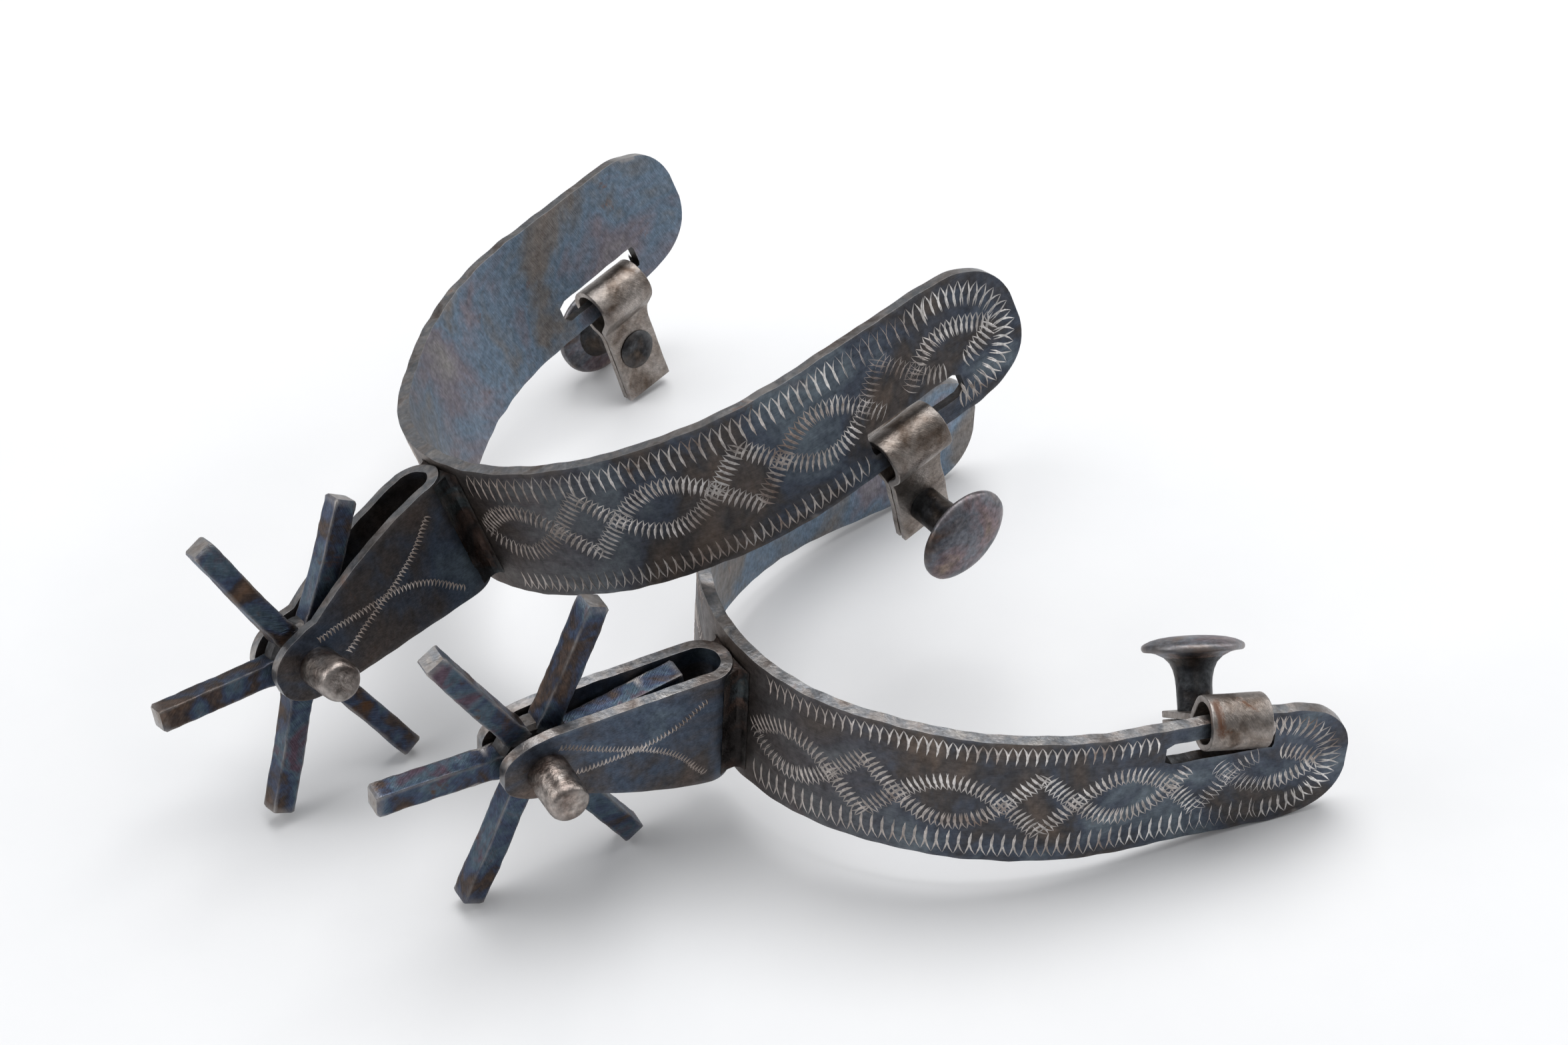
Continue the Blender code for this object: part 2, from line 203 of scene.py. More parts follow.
# turns are (share of the arm, radians turned towards the toe); near is 1 where the near arm is the
# left one; spokes are (angle, reach); hangers are (place along the arm, swing, crookedness, half
# width, length, stem's place, stem's length); place and turn are the resting pose
SPURS = {
    "front": {
        "turns": ((0.0, 0.0), (0.12, 0.31), (0.25, 0.66), (0.42, 1.03), (0.65, 1.43), (1.0, 1.35)),
        "near": 1,
        "arms": {"near": 110.4, "far": 102.8},
        "pin_height": -2.1,
        "spokes": ((292.0, 28.4), (235.9, 29.6), (179.9, 26.9), (112.4, 29.4), (53.3, 29.6), (347.3, 26.4)),
        "hangers": {
            "near": (90.0, -128.0, 7.0, 5.3, 21.0, 15.6, 9.4),
            "far": (78.2, 112.0, 0.0, 5.8, 21.0, 15.8, 9.2),
        },
        "place": (-4.009, -45.806, 21.488),
        "turn": (179.84, 6.0, 28.53),
        "seed": 3.0,
    },
    "rear": {
        "turns": ((0.0, 0.0), (0.12, 0.31), (0.25, 0.66), (0.42, 0.91), (0.65, 1.48), (1.0, 1.475)),
        "near": -1,
        "arms": {"near": 110.2, "far": 108.4},
        "pin_height": -3.7,
        "spokes": ((47.6, 27.0), (103.4, 28.2), (166.4, 26.5), (232.4, 26.6), (288.1, 27.0), (347.0, 27.0)),
        "hangers": {
            "near": (84.4, -21.0, -5.0, 5.9, 21.0, 15.3, 9.0),
            "far": (87.8, 8.1, 0.0, 5.8, 22.0, 12.7, 9.2),
        },
        "place": (-47.499, -14.396, 33.898),
        "turn": (-16.54, -9.76, 39.01),
        "seed": 41.0,
    },
}

# bevels, and the angles above which an edge is bevelled or drawn sharp
STEEL_BEVEL = 0.28
STRAP_BEVEL = 0.2
BEVEL_ANGLE = 45.0
SHARP_ANGLE = 40.0

# camera and stage, in metres; lights are (name, place, aim, size, power)
CAMERA_AT = (0.024071, -0.438896, 0.398588)
CAMERA_TURN = (49.024, 2.814, 0.0)
CAMERA_LENS = 78.083
FLOOR_REACH = 6.0
LIGHTS = (
    ("overhead", (0.1, 0.35, 1.1), (0.0, 0.0, 0.0), 1.0, 11.6),
    ("left_fill", (-0.9, -0.1, 0.6), (0.0, 0.0, 0.02), 0.7, 3.6),
    ("right_fill", (0.9, 0.2, 0.5), (0.0, 0.0, 0.02), 0.5, 1.9),
)
WORLD_COLOUR = (0.95, 0.97, 1.0, 1.0)
WORLD_STRENGTH = 0.35


# --- shapes ---


def new_shape():
    """Points, faces with a material number each, and a flow coordinate for every point."""
    return {"points": [], "faces": [], "marks": [], "flow": []}


def add_point(shape, point, flow=(0.0, 0.0)):
    """Adds a point and gives its number."""
    shape["points"].append(Vector(point))
    shape["flow"].append(flow)
    return len(shape["points"]) - 1


def add_face(shape, corners, mark=0):
    """Adds a face, leaving out repeated corners."""
    corners = list(dict.fromkeys(corners))
    if len(corners) > 2:
        shape["faces"].append(corners)
        shape["marks"].append(mark)


def join_rings(shape, rings, mark=0):
    """Faces between each closed ring of points and the next."""
    for low, high in zip(rings, rings[1:]):
        for i in range(len(low)):
            j = (i + 1) % len(low)
            add_face(shape, [low[i], low[j], high[j], high[i]], mark)


def value_at(knots, share):
    """Straight-line value between (share, value) knots."""
    for (left, low), (right, high) in zip(knots, knots[1:]):
        if share <= right:
            return low + (high - low) * (share - left) / (right - left)
    return knots[-1][1]


def spread(start, end, step):
    """Even values from start to end, both included."""
    count = max(1, round(abs(end - start) / step))
    return [start + (end - start) * i / count for i in range(count + 1)]


def ripple(x, y, z):
    """Smooth unevenness about zero at a place in the noise."""
    return noise.noise(Vector((x, y, z)))


def dent(along, height, seed):
    """Depth of the hammered and worn surface below the plain one."""
    broad = ripple(along * 0.10, height * 0.15, seed)
    small = ripple(along * 0.40, height * 0.45, seed + 9.0)
    return DENT + DENT_BROAD * broad + DENT_SMALL * small


def arm_path(turns):
    """Plan points and headings along one arm's outer face, a millimetre apart."""
    x = y = 0.0
    heading = math.pi / 2
    path = [(x, y, heading)]
    for i in range(int(ARM)):
        middle = math.pi / 2 - value_at(turns, (i + 0.5) / ARM)
        x += math.cos(middle)
        y += math.sin(middle)
        path.append((x, y, math.pi / 2 - value_at(turns, (i + 1) / ARM)))
    return path


def on_arm(path, along):
    """Plan point and outward normal at a signed distance from the heel, + to the left."""
    side = 1 if along >= 0 else -1
    reach = min(abs(along), len(path) - 1.001)
    i = int(reach)
    part = reach - i
    x, y, heading = (a + (b - a) * part for a, b in zip(path[i], path[i + 1]))
    point = Vector((x, side * y, 0.0))
    normal = Vector((-math.sin(heading), side * math.cos(heading), 0.0))
    return point, normal


def band_edges(along, arm):
    """Low and top edge heights of the heel band, with its rounded, slightly squared end."""
    share = abs(along) / ARM
    low = value_at(LOW_EDGE, share)
    top = value_at(TOP_EDGE, share)
    if abs(along) > arm - ROUNDED:
        reach = min((abs(along) - arm + ROUNDED) / ROUNDED, 1.0)
        half = 0.5 * (top - low) * (1.0 - reach**END_SQUARE) ** (1.0 / END_SQUARE)
        middle = 0.5 * (top + low)
        low, top = middle - half, middle + half
    return low, top


def worn_edges(along, arm, seed):
    """Band edges with the small uneven bites of hand filing."""
    low, top = band_edges(along, arm)
    bite = min(1.0, 0.2 * (top - low))
    low += bite * (0.14 + 0.26 * ripple(along * 0.30, seed, 1.0))
    top -= bite * (0.14 + 0.26 * ripple(along * 0.27, seed, 5.0))
    return low, top


def plate(stations, rows, is_open, seed):
    """Bent plate. Stations are (outer, inner, low, top, flow); rows are shares of the height.

    Marks are 0 for the outer face, 1 for the inner face, 2 for the edges and 3 in a slot.
    """
    shape = new_shape()
    spots = {}
    for i, (outer, inner, low, top, flow) in enumerate(stations):
        outer, inner = Vector((outer[0], outer[1], 0.0)), Vector((inner[0], inner[1], 0.0))
        across = (inner - outer).normalized()
        for j, share in enumerate(rows):
            height = low + share * (top - low)
            lift = Vector((0.0, 0.0, height))
            at = outer + across * dent(flow, height, seed) + lift
            spots[i, j, 0] = add_point(shape, at, (flow, height))
            at = inner - across * dent(flow, height, seed + 20.0) + lift
            spots[i, j, 1] = add_point(shape, at, (flow, height))
    columns = len(stations) - 1
    bands = len(rows) - 1
    solid = {(i, j) for i in range(columns) for j in range(bands) if not is_open(i, j)}
    for i, j in sorted(solid):
        square = ((i, j), (i + 1, j), (i + 1, j + 1), (i, j + 1))
        add_face(shape, [spots[a, b, 0] for a, b in square], 0)
        add_face(shape, [spots[a, b, 1] for a, b in reversed(square)], 1)
        beyond = ((i, j - 1), (i + 1, j), (i, j + 1), (i - 1, j))
        for side, neighbour in enumerate(beyond):
            if neighbour not in solid:
                a, b = square[side], square[(side + 1) % 4]
                corners = [spots[b + (0,)], spots[a + (0,)], spots[a + (1,)], spots[b + (1,)]]
                inside = 0 <= neighbour[0] < columns and 0 <= neighbour[1] < bands
                add_face(shape, corners, 3 if inside else 2)
    return shape


def band_alongs(left_arm, right_arm):
    """Places of the band's columns, with one at each end of each slot."""
    sides = []
    for arm in (right_arm, left_arm):
        start = arm - SLOT_FROM_END
        end = start + SLOT_LONG
        places = spread(0.0, start, BAND_STEP) + spread(start, end, BAND_STEP)[1:]
        places += spread(end, arm - END_FINE, END_STEP)[1:]
        sides.append(places + [arm - inward for inward in END_COLUMNS])
    return [-place for place in reversed(sides[0][1:])] + sides[1]


def heel_band(path, left_arm, right_arm, straps, seed):
    """Flat strap bent to a U, with a slot near the low edge of each arm.

    straps holds the ends of each hanger's place as signed distances from the heel.
    """
    alongs = band_alongs(left_arm, right_arm)
    rows = spread(0.0, SLOT_LOW, ROW_STEP) + spread(SLOT_LOW, SLOT_HIGH, SLOT_ROW_STEP)[1:]
    rows += spread(SLOT_HIGH, 1.0, ROW_STEP)[1:]
    stations = []
    for along in alongs:
        point, normal = on_arm(path, along)
        low, top = worn_edges(along, left_arm if along >= 0 else right_arm, seed)
        stations.append((point, point - normal * BAND_THICK, low, top, along))

    def slot_start(along):
        return (left_arm if along > 0 else right_arm) - SLOT_FROM_END

    def in_slot(i, j):
        middle = (alongs[i] + alongs[i + 1]) / 2
        start = slot_start(middle)
        share = (rows[j] + rows[j + 1]) / 2
        return SLOT_LOW < share < SLOT_HIGH and start < abs(middle) < start + SLOT_LONG

    shape = plate(stations, rows, in_slot, seed)
    round_slot_ends(shape, path, slot_start, straps)
    return shape


def round_slot_ends(shape, path, slot_start, straps):
    """Slides the slots' corner points inward, less where a hanger stands close to the end."""
    for k, (along, height) in enumerate(shape["flow"]):
        start = slot_start(along)
        for end, way in ((start, 1.0), (start + SLOT_LONG, -1.0)):
            if abs(abs(along) - end) > 0.01:
                continue
            share = height_share(along, height, slot_start)
            if min(abs(share - SLOT_LOW), abs(share - SLOT_HIGH)) > 0.02:
                continue
            room = min(abs(along - strap) for strap in straps)
            slide = SLOT_ROUND if room > SLOT_ROUND + 1.0 else SLOT_TIGHT
            moved = math.copysign(abs(along) + way * slide, along)
            here, there = on_arm(path, along)[0], on_arm(path, moved)[0]
            shape["points"][k] += there - here


def height_share(along, height, slot_start):
    """Share of the band's height at a point on it."""
    low, top = band_edges(along, slot_start(along) + SLOT_FROM_END)
    return (height - low) / (top - low)


def smooth_three(knots, share):
    """Smooth curve through three knots at 0, a half and 1."""
    low, middle, high = (value for _, value in knots)
    return (
        low * (1 - share) * (1 - 2 * share)
        + middle * 4 * share * (1 - share)
        + high * share * (2 * share - 1)
    )


def cheek_stations():
    """Side outline of a cheek as (distance behind the heel, low, top) stations."""
    stations = []
    for share in spread(0.0, 0.88, 0.045):
        low = smooth_three(SHANK_LOW, share)
        top = smooth_three(SHANK_TOP, share)
        stations.append((SHANK_HALF + share * CHEEK_STRAIGHT, low, top))
    ear_half = 0.5 * (SHANK_TOP[-1][1] - SHANK_LOW[-1][1])
    ear_middle = 0.5 * (SHANK_TOP[-1][1] + SHANK_LOW[-1][1])
    reach = EAR_LONG + EAR_LEAD
    for angle in spread(0.0, 82.0, 5.0):
        turn = math.radians(angle)
        half = ear_half * math.cos(turn) ** 0.8
        behind = SHANK_LONG - EAR_LEAD + reach * math.sin(turn)
        stations.append((behind, ear_middle - half, ear_middle + half))
    return stations


def shank(shift, seed):
    """Strap folded to a hairpin: a round nose at the heel and two cheeks."""
    cheek = cheek_stations()
    inside = SHANK_HALF - SHANK_THICK
    stations = []

    def worn(low, top, flow):
        bite = 0.22 * ripple(flow * 0.3, seed, 3.0)
        return low + 0.1 + bite, top - 0.1 - bite

    for behind, low, top in reversed(cheek):
        x = -behind - SHANK_GAP
        low, top = worn(low, top, -behind)
        stations.append(((x, shift + SHANK_HALF), (x, shift + inside), low, top, -behind))
    for i in range(1, NOSE_STEPS):
        angle = math.pi / 2 - math.pi * i / NOSE_STEPS
        spots = []
        for radius in (SHANK_HALF, inside):
            x = radius * math.cos(angle) - SHANK_HALF - SHANK_GAP
            spots.append((x, shift + radius * math.sin(angle)))
        flow = -SHANK_HALF * math.cos(math.pi * i / NOSE_STEPS)
        low, top = worn(cheek[0][1], cheek[0][2], flow)
        stations.append((spots[0], spots[1], low, top, flow))
    for behind, low, top in cheek:
        x = -behind - SHANK_GAP
        low, top = worn(low, top, behind)
        stations.append(((x, shift - SHANK_HALF), (x, shift - inside), low, top, behind))
    return plate(stations, spread(0.0, 1.0, 0.08), lambda i, j: False, seed)


def lathe(shape, profile, origin, across, along, steps, wobble, seed, dark_below=0):
    """Solid of revolution; profile is (radius, height) pairs from the axis back to the axis.

    The profile's first dark_below spans carry mark 1.
    """
    third = along.cross(across)
    rings = []
    for radius, height in profile:
        if radius == 0:
            rings.append([add_point(shape, origin + along * height)] * steps)
            continue
        ring = []
        for i in range(steps):
            angle = 2 * math.pi * i / steps
            out = across * math.cos(angle) + third * math.sin(angle)
            spot = out * 1.3 + along * (height * 0.25 + seed)
            inset = wobble * (0.6 + 0.8 * noise.noise(spot) + 0.3 * noise.noise(spot * 3.1))
            shaved = max(radius - inset, 0.2 * radius)
            ring.append(add_point(shape, origin + along * height + out * shaved))
        rings.append(ring)
    join_rings(shape, rings[: dark_below + 1], 1)
    join_rings(shape, rings[dark_below:])


def hub_ring(shape, hub, seed):
    """Ring with a bore, round which the rowel's bars stand."""
    half = ROWEL_THICK / 2 - 0.12
    side = (
        (ROWEL_BORE, half - BORE_BEVEL),
        (ROWEL_BORE + BORE_BEVEL, half),
        (HUB_RADIUS - HUB_BEVEL, half),
        (HUB_RADIUS, half - HUB_BEVEL),
    )
    profile = [(radius, -height) for radius, height in side] + list(reversed(side))
    rings = []
    for radius, height in profile:
        ring = []
        for i in range(HUB_STEPS):
            angle = 2 * math.pi * i / HUB_STEPS
            out = Vector((math.cos(angle), 0.0, math.sin(angle)))
            rough = 0.0
            if radius > ROWEL_BORE + 1.0:
                rough = 0.25 * noise.noise(out * 2.2 + Vector((seed, height, 0.0)))
            ring.append(add_point(shape, hub + out * (radius - rough) + Vector((0.0, height, 0.0))))
        rings.append(ring)
    join_rings(shape, rings + rings[:1], 2)


def bar_section(half_wide, half_thick, corner):
    """Rounded square as (wide, thick) points, five to a corner, starting inside a corner."""
    points = []
    corners = ((1, 1, 0.0), (-1, 1, 90.0), (-1, -1, 180.0), (1, -1, 270.0))
    for wide, thick, start in corners:
        for angle, along in ((0.0, -0.4), (0.0, 0.0), (45.0, 0.0), (90.0, 0.0), (90.0, 0.4)):
            turn = math.radians(start + angle)
            a = wide * (half_wide - corner) + corner * math.cos(turn) - along * math.sin(turn)
            b = thick * (half_thick - corner) + corner * math.sin(turn) + along * math.cos(turn)
            points.append((a, b))
    return points[2:] + points[:2]


def spoke(shape, hub, angle, reach, seed):
    """One hand-filed square bar from the hub outward, a little bent, with a ground end."""
    turn = math.radians(angle)
    out = Vector((math.cos(turn), 0.0, math.sin(turn)))
    wide = Vector((-out.z, 0.0, out.x))
    thick = Vector((0.0, 1.0, 0.0))
    rings = []
    places = spread(SPOKE_ROOT, reach - 0.5, SPOKE_STEP) + [reach - 0.12]
    for k, place in enumerate(places):
        last = k == len(places) - 1
        shrink = 0.86 if last else 1.0
        slim = 1.0 - 0.06 * (0.5 + 0.5 * ripple(place * 0.11, seed, 2.0))
        if place < HUB_RADIUS + 1.0:
            slim *= 1.12
        section = bar_section(SPOKE_HALF * slim * shrink, ROWEL_THICK / 2 * shrink - 0.04, SPOKE_CORNER)
        sway = 0.22 * ripple(place * 0.09, seed, 8.0)
        twist = math.radians(5.0) * ripple(place * 0.06, seed, 14.0)
        cosine, sine = math.cos(twist), math.sin(twist)
        ring = []
        girth = 0.0
        for c, (a, b) in enumerate(section):
            girth += math.dist((a, b), section[c - 1]) if c else 0.0
            a, b = a * cosine - b * sine, a * sine + b * cosine
            spot = Vector((a * 0.9, b * 0.9, place * 0.55)) + Vector((seed, 0.0, 0.0))
            worn = 1.0 - 0.05 * (0.5 + noise.noise(spot)) - 0.02 * noise.noise(spot * 2.7)
            at = hub + out * place + wide * (a * worn + sway) + thick * (b * worn)
            ring.append(add_point(shape, at, (place + seed, girth)))
        rings.append(ring)
    join_rings(shape, rings)
    add_face(shape, list(reversed(rings[0])))
    add_face(shape, rings[-1], 1)


def rowel(spokes, height, offset, seed):
    """Six bars round a bored hub."""
    shape = new_shape()
    hub = Vector((-SHANK_LONG - SHANK_GAP, offset, height))
    hub_ring(shape, hub, seed)
    for k, (angle, reach) in enumerate(spokes):
        spoke(shape, hub, angle, reach, seed + 3.7 * k)
    return shape


def rowel_pin(near, height, seed):
    """Round pin through both cheeks, its long end rounded by wear, its short end riveted."""
    shape = new_shape()
    centre = Vector((-SHANK_LONG - SHANK_GAP, 0.0, height))
    long_end = SHANK_SHIFT + SHANK_HALF + PIN_STAND_OUT
    short_end = SHANK_SHIFT - SHANK_HALF - PIN_FAR_HEAD
    profile = [(radius, short_end + inward) for radius, inward in PIN_SHORT_END]
    profile += [(PIN_RADIUS, place) for place in spread(short_end + 1.2, long_end - 1.5, 0.9)]
    profile += [(radius, long_end - inward) for radius, inward in PIN_LONG_END]
    lathe(shape, profile, centre, Vector((1, 0, 0)), Vector((0, near, 0)), PIN_STEPS, 0.10, seed)
    return shape


def braze(path, side, shift, seed):
    """Lumpy fillet of brazing metal between the band and one side of the shank's nose."""
    outline = []
    for along in spread(BRAZE_START, BRAZE_END, 0.7):
        point = on_arm(path, along + side * shift)[0]
        outline.append((point.x, point.y))
    band_count = len(outline)
    centre = side * shift
    start = outline[-1]
    arc = []
    for angle in BRAZE_ANGLES:
        turn = math.radians(angle)
        x = -SHANK_HALF - SHANK_GAP + SHANK_HALF * math.cos(turn)
        arc.append((x, centre + SHANK_HALF * math.sin(turn)))
    free = []
    for share in (0.25, 0.5, 0.75):
        x = start[0] + (arc[0][0] - start[0]) * share
        y = start[1] + (arc[0][1] - start[1]) * share
        sag = 1.5 * math.sin(math.pi * share)
        free.append((x + 0.55 * sag, y - 0.75 * sag))
    outline += free + arc
    shape = new_shape()
    rings = []
    for height in spread(BRAZE_LOW, BRAZE_HIGH, 0.85):
        ring = []
        for k, (x, y) in enumerate(outline):
            lump = 0.0
            if k >= band_count:
                lump = 0.22 * (ripple(x, y, height * 0.6 + seed) - 0.6)
            ring.append(add_point(shape, (x - lump * 0.3, side * (y + lump * 0.6), height)))
        rings.append(ring)
    join_rings(shape, rings)
    add_face(shape, list(reversed(rings[0])))
    add_face(shape, rings[-1])
    return shape


def strap_middle(length):
    """Middle line of the folded strap: a round loop whose two legs close up below it."""
    leg = 0.5 * (LEG_GAP + STRAP_THICK)
    turn = math.radians(LOOP_OPENING)
    leave = LOOP_RADIUS * Vector((math.cos(turn), math.sin(turn)))
    slope = Vector((math.sin(turn), -math.cos(turn)))
    knee = leave + slope * ((leave.y - leg) / math.cos(turn))
    straight = [Vector((x, leg)) for x in spread(length - LOOP_DROP - 0.15, knee.x + 1.1, 1.2)]
    middle = straight + [knee + Vector((0.35, 0.08)), knee - slope * 0.5, knee - slope * 1.1]
    bend = len(middle)
    for i in range(LOOP_STEPS + 1):
        angle = turn + (2 * math.pi - 2 * turn) * i / LOOP_STEPS
        middle.append(LOOP_RADIUS * Vector((math.cos(angle), math.sin(angle))))
    middle += [Vector((p.x, -p.y)) for p in reversed(middle[:bend])]
    return middle


def hanger_frame(path, side, arm, along, swing, crooked):
    """Rail centre, and the directions along the legs, towards the button and along the rail."""
    point, normal = on_arm(path, side * along)
    low, top = band_edges(side * along, arm)
    rail_height = low + RAIL_SHARE * (top - low)
    centre = point - normal * (BAND_THICK / 2) + Vector((0, 0, rail_height))
    up = Vector((0, 0, 1))
    angle = math.radians(swing)
    legs = -math.cos(angle) * up + math.sin(angle) * normal
    button = math.cos(angle) * normal + math.sin(angle) * up
    lean = Matrix.Rotation(math.radians(crooked), 3, legs)
    return centre, legs, lean @ button, lean @ legs.cross(button)


def leg_share(down):
    """How wide the strap is at a distance below the rail, as a share of its loop."""
    return 1.0 - LEG_NARROWING * min(1.0, max(0.0, (down - 4.0) / 3.0))


def hanger(frame, half_width, length, seed):
    """Strap folded round the rail, cut by hand so that its edges aren't quite straight."""
    centre, legs, button, rail = frame
    middle = strap_middle(length)
    shape = new_shape()
    columns = spread(-1.0, 1.0, 0.25)
    grid = {}
    flow = 0.0
    for i, point in enumerate(middle):
        before = (point - middle[max(i - 1, 0)]).normalized()
        after = (middle[min(i + 1, len(middle) - 1)] - point).normalized()
        way = (before + after).normalized()
        square = Vector((-way.y, way.x))
        flow += (point - middle[max(i - 1, 0)]).length
        for j, share in enumerate(columns):
            edge = half_width - 0.18 - 0.22 * ripple(flow * 0.22, share, seed)
            across = share * edge * leg_share(point.x)
            worn = 0.045 * (1.0 + ripple(flow * 0.35, across * 0.35, seed + 4.0))
            for face, way_out in ((0, -1.0), (1, 1.0)):
                flat = point + square * way_out * (0.5 * STRAP_THICK - worn)
                at = centre + legs * (flat.x + LOOP_DROP) + button * flat.y + rail * across
                grid[i, j, face] = add_point(shape, at, (flow, across))
    last, rim = len(middle) - 1, len(columns) - 1
    for i in range(last):
        for j in range(rim):
            square = ((i, j), (i + 1, j), (i + 1, j + 1), (i, j + 1))
            add_face(shape, [grid[a, b, 0] for a, b in square], 0)
            add_face(shape, [grid[a, b, 1] for a, b in reversed(square)], 0)
        for j in (0, rim):
            add_face(shape, [grid[i, j, 0], grid[i + 1, j, 0], grid[i + 1, j, 1], grid[i, j, 1]], 1)
    for j in range(rim):
        for i in (0, last):
            add_face(shape, [grid[i, j, 0], grid[i, j + 1, 0], grid[i, j + 1, 1], grid[i, j, 1]], 1)
    return shape


def hanger_button(frame, stem_at, stem_long, seed):
    """Domed disc on a flared stem, riveted over behind the strap."""
    centre, legs, button, _ = frame
    shape = new_shape()
    face = 0.5 * LEG_GAP + STRAP_THICK
    back = -face
    disc = face + stem_long
    origin = centre + legs * stem_at
    profile = [(radius, back + rise) for radius, rise in RIVET]
    profile += [(STEM_RADIUS, place) for place in spread(back + 1.2, face + 0.5, 1.2)]
    profile += [(radius, disc + rise) for radius, rise in FLARE]
    dark_below = len(profile)
    profile += [(radius, disc + rise) for radius, rise in DISC]
    lathe(shape, profile, origin, legs, button, BUTTON_STEPS, 0.2, seed, dark_below)
    return shape


# --- engraving ---


def cut(shape, surface, start, end, bow, half):
    """One tapered, curved burr of bright metal between two places on a surface."""
    start, end = Vector(start), Vector(end)
    run = end - start
    side = Vector((-run.y, run.x)).normalized()
    rows = []
    for share, width in ((0.25, 0.85), (0.5, 1.0), (0.75, 0.7)):
        middle = start + run * share + side * bow * math.sin(math.pi * share)
        left, right = middle - side * half * width, middle + side * half * width
        row = []
        for spot, lift in ((left, BURR_FOOT), (middle, BURR_PEAK), (right, BURR_FOOT)):
            row.append(add_point(shape, surface(spot.x, spot.y, lift), (spot.x, spot.y)))
        rows.append(row)
    first = add_point(shape, surface(start.x, start.y, 0.0), tuple(start))
    final = add_point(shape, surface(end.x, end.y, 0.0), tuple(end))
    join_rings(shape, [[first] * 3] + rows + [[final] * 3])


def even_trail(trail, pitch):
    """Places and headings at even distances along a line of plane points."""
    places = []
    left_over = 0.0
    for start, end in zip(trail, trail[1:]):
        run = Vector(end) - Vector(start)
        length = run.length
        if length < 1e-6:
            continue
        way = run / length
        distance = left_over
        while distance < length:
            places.append((Vector(start) + way * distance, way))
            distance += pitch
        left_over = distance - length
    return places


def wriggle(shape, surface, trail, zigzag, seed, keep=None):
    """Zigzag of cuts along a trail: a broad curved one, then a thin one back."""
    pitch, reach, half = zigzag
    places = even_trail(trail, pitch)
    for k, (spot, way) in enumerate(places):
        if keep and not keep(spot):
            continue
        side = Vector((-way.y, way.x))
        loose = ripple(k * 0.7, seed, 0.0)
        long = reach * (1.0 + 0.22 * loose)
        foot = spot - side * long / 2
        head = spot + side * long / 2 + way * pitch * 0.65
        cut(shape, surface, foot, head, 0.14 * reach, half * (1.0 + 0.4 * loose))
        if k + 1 < len(places) and (places[k + 1][0] - spot).length < 2 * pitch:
            onward = places[k + 1][0] - side * long / 2
            cut(shape, surface, head, onward, 0.05 * reach, half * 0.85)


def strands(side_sign):
    """Upper or lower strand of the twisted pattern, as plane points."""
    trail = []
    for kind, start, end in FIGURES:
        for i in range(FIGURE_STEPS + 1):
            share = i / FIGURE_STEPS
            if kind == "oval":
                height = OVAL_HALF * math.sin(math.pi * share) ** 0.85
            else:
                height = DIAMOND_HALF * (1.0 - abs(2 * share - 1.0))
            if end == FIGURES[-1][2]:
                height *= 1.0 - 0.35 * share
            trail.append((start + (end - start) * share, side_sign * height))
    return trail


def border(arm, first, last, inset, top_side):
    """Line beside one edge of an arm, between two distances from the heel."""
    trail = []
    for along in spread(first, last, 0.8):
        low, top = band_edges(along, arm)
        trail.append((along, top - inset if top_side else low + inset))
    return trail


def end_border(arm, inset):
    """Line round the end of an arm, a little inside its outline."""
    middle_low, middle_top = band_edges(arm - ROUNDED, arm)
    middle = 0.5 * (middle_low + middle_top)
    half = 0.5 * (middle_top - middle_low) - inset
    trail = []
    for angle in spread(90.0, -90.0, 6.0):
        turn = math.radians(angle)
        along = arm - ROUNDED + (ROUNDED - inset) * max(0.0, math.cos(turn)) ** 0.8
        trail.append((along, middle + half * math.sin(turn)))
    return trail


def engrave_arm(shape, path, side, arm, rubbed, seed):
    """Zigzag borders and twisted strands on one arm's outer face.

    rubbed is the stretch of the arm where a hanger has worn the burrs down.
    """

    def surface(along, height, lift):
        point, normal = on_arm(path, side * along)
        depth = dent(side * along, height, seed)
        if rubbed[0] < along < rubbed[1]:
            lift = min(lift, RUBBED_PEAK)
        return point + normal * (lift - depth) + Vector((0.0, 0.0, height))

    slot_start = arm - SLOT_FROM_END
    slot_end = slot_start + SLOT_LONG
    borders = (
        (border(arm, TOP_BORDER_START, arm - ROUNDED, TOP_INSET, True), TOP_ZIGZAG),
        (end_border(arm, END_INSET), END_ZIGZAG),
        (border(arm, slot_start - SLOT_CLEAR, LOW_BORDER_START, LOW_INSET, False), LOW_ZIGZAG),
        (border(arm, arm - ROUNDED, slot_end + SLOT_END_CLEAR, LOW_END_INSET, False), LOW_END_ZIGZAG),
    )
    for k, (trail, zigzag) in enumerate(borders):
        wriggle(shape, surface, trail, zigzag, seed + k)

    def clear_of_slot(spot):
        low, top = band_edges(spot.x, arm)
        above = low + (SLOT_HIGH + 0.07) * (top - low)
        return not (slot_start - SLOT_CLEAR < spot.x < slot_end + SLOT_CLEAR and spot.y < above)

    scale = arm / FIGURES_ARM
    for sign in (1.0, -1.0):
        trail = []
        for along, height in strands(sign):
            along *= scale
            middle = 0.5 * sum(band_edges(along, arm))
            raised = 0.8 * min(1.0, along / 30.0)
            trail.append((along, middle * 0.6 + height + raised))
        wriggle(shape, surface, trail, STRAND_ZIGZAG, seed + 4.0 + sign, clear_of_slot)


